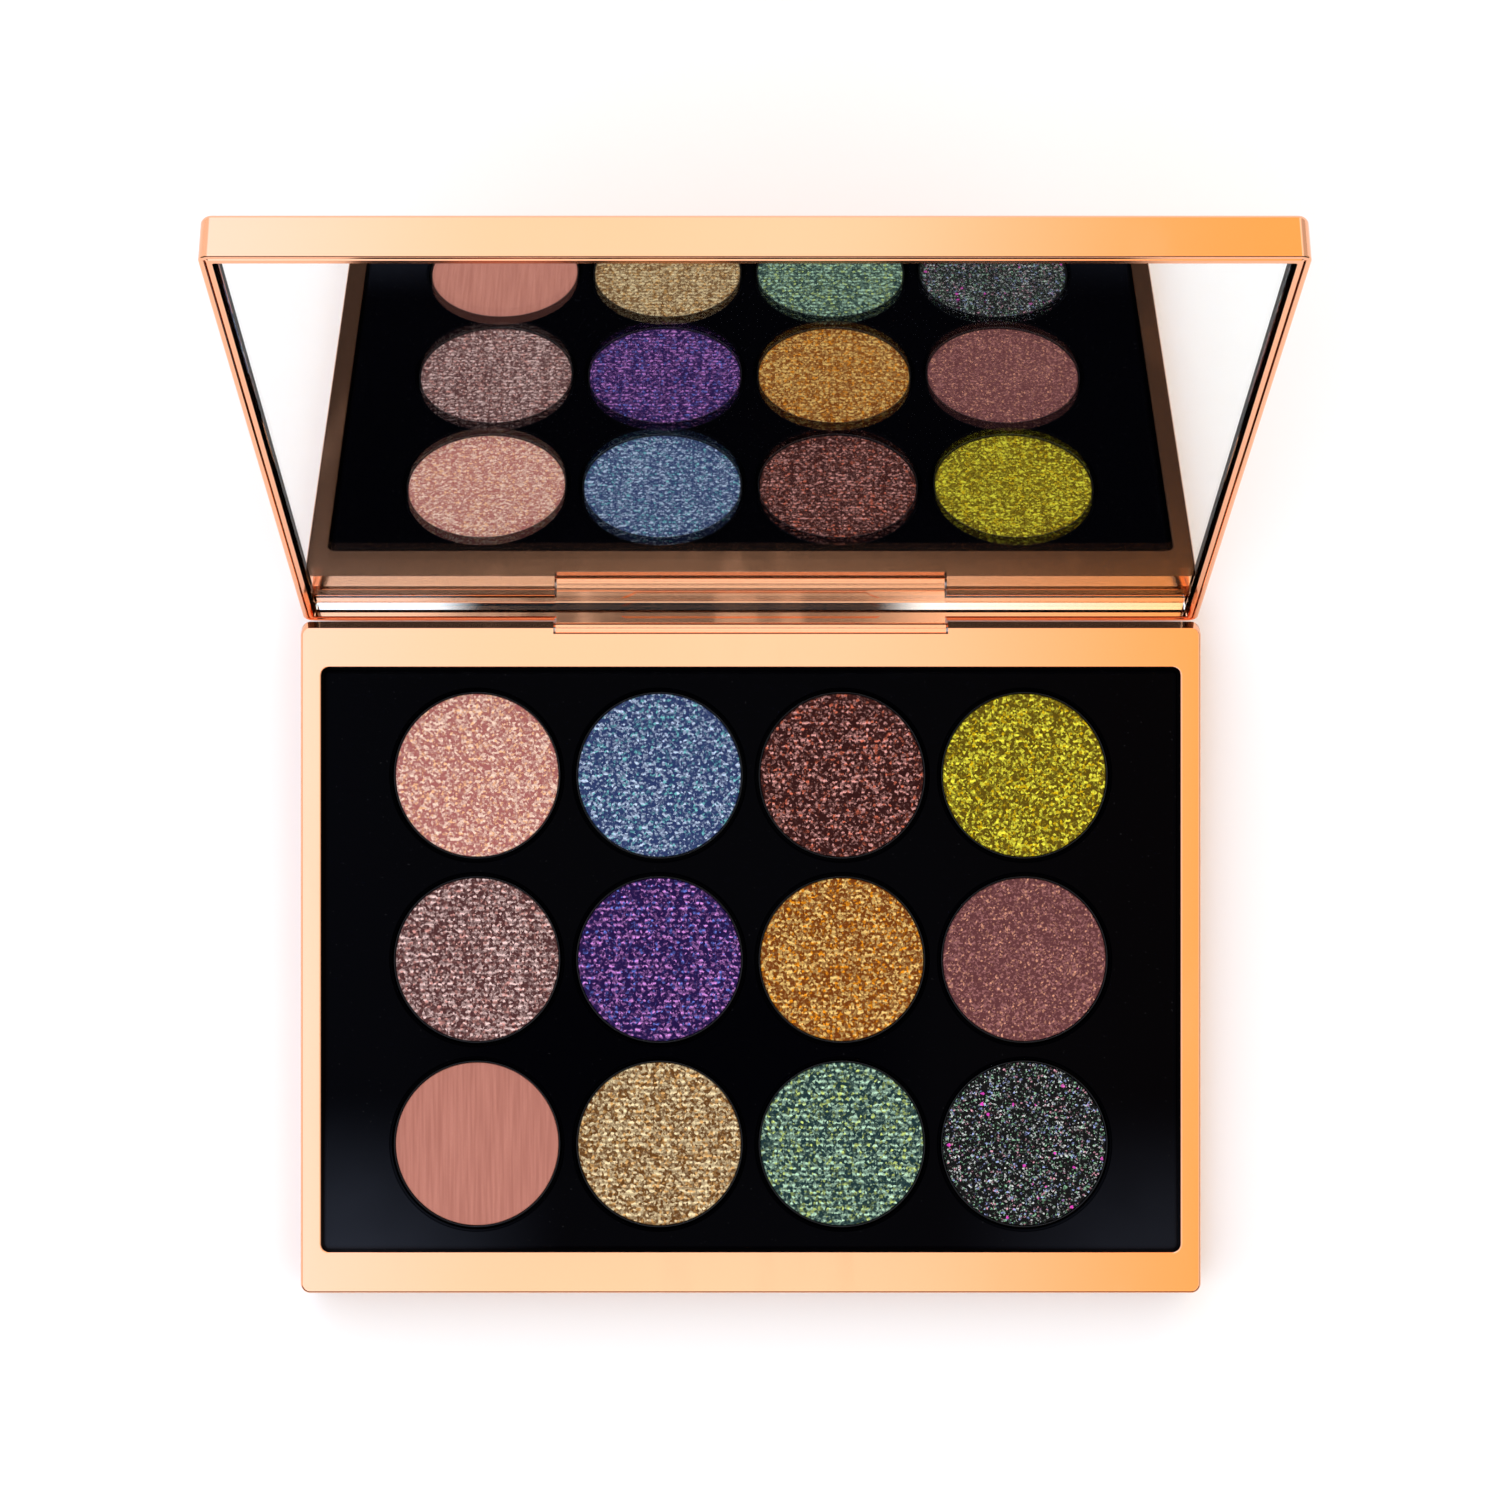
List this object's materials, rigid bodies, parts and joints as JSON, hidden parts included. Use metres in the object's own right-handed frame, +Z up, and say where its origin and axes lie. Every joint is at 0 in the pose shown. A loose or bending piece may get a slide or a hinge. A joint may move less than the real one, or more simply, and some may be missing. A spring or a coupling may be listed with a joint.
{
  "type": "eyeshadow palette",
  "caption": "Slim rectangular eyeshadow palette with a rear-hinged mirrored lid and round pans of pressed powder in a glossy black tray.",
  "frame": {"origin": "middle of the base's underside, where it rests", "axes": "+Z up, -Y towards the user and the front edge, +Y towards the hinge, +X to the user's right; the lid is stored open against its stop"},
  "size_m": [0.14, 0.1491, 0.1032],
  "materials": {
    "champagne_gold": "vacuum-metallised champagne gold, glossy",
    "black_gloss": "polished black",
    "pan_tinplate": "thin tinplate with a dark lacquer",
    "glue": "clear adhesive",
    "magnet_nickel": "nickel plated",
    "pin_steel": "drawn wire",
    "mirror_glass": "silvered glass, bevelled edge",
    "foam_tape": "double-sided foam tape",
    "label": "blank, matt",
    "powder_rose_gold": "pressed shimmer, fine ribs",
    "powder_steel_blue": "pressed shimmer, fine ribs",
    "powder_cocoa": "pressed shimmer, fine ribs",
    "powder_chartreuse": "pressed shimmer, fine ribs",
    "powder_mauve_taupe": "pressed shimmer, fine ribs",
    "powder_violet": "pressed shimmer, fine ribs",
    "powder_amber": "pressed shimmer, fine ribs",
    "powder_dusty_plum": "satin with sparse sparkle",
    "powder_terracotta": "matte, fine pressed weave",
    "powder_antique_gold": "pressed shimmer, fine ribs",
    "powder_sea_green": "pressed shimmer, fine ribs",
    "powder_night_glitter": "black with coloured glitter"
  },
  "bodies": {
    "base": {"base_frame": "champagne_gold", "base_bottom": "champagne_gold", "underside_label": "label", "pan_tray": "black_gloss", "glue_dot_r1c1": "glue", "glue_dot_r1c2": "glue", "glue_dot_r1c3": "glue", "glue_dot_r1c4": "glue", "glue_dot_r2c1": "glue", "glue_dot_r2c2": "glue", "glue_dot_r2c3": "glue", "glue_dot_r2c4": "glue", "glue_dot_r3c1": "glue", "glue_dot_r3c2": "glue", "glue_dot_r3c3": "glue", "glue_dot_r3c4": "glue", "pan_r1c1": "pan_tinplate", "pan_r1c2": "pan_tinplate", "pan_r1c3": "pan_tinplate", "pan_r1c4": "pan_tinplate", "pan_r2c1": "pan_tinplate", "pan_r2c2": "pan_tinplate", "pan_r2c3": "pan_tinplate", "pan_r2c4": "pan_tinplate", "pan_r3c1": "pan_tinplate", "pan_r3c2": "pan_tinplate", "pan_r3c3": "pan_tinplate", "pan_r3c4": "pan_tinplate", "powder_rose_gold": "powder_rose_gold", "powder_steel_blue": "powder_steel_blue", "powder_cocoa": "powder_cocoa", "powder_chartreuse": "powder_chartreuse", "powder_mauve_taupe": "powder_mauve_taupe", "powder_violet": "powder_violet", "powder_amber": "powder_amber", "powder_dusty_plum": "powder_dusty_plum", "powder_terracotta": "powder_terracotta", "powder_antique_gold": "powder_antique_gold", "powder_sea_green": "powder_sea_green", "powder_night_glitter": "powder_night_glitter", "base_magnet_left": "magnet_nickel", "base_magnet_right": "magnet_nickel", "hinge_pin_left": "pin_steel", "hinge_pin_right": "pin_steel"},
    "lid": {"lid_cover": "champagne_gold", "lid_frame": "champagne_gold", "mirror": "mirror_glass", "mirror_tape": "foam_tape", "lid_magnet_left": "magnet_nickel", "lid_magnet_right": "magnet_nickel"}
  },
  "joints": [
    {"name": "lid_hinge", "type": "hinge", "parent": "base", "child": "lid", "pos_m": [0, 0.05085, 0.0084], "axis": [-1, 0, 0], "range_deg": [-111.7, 0]}
  ]
}
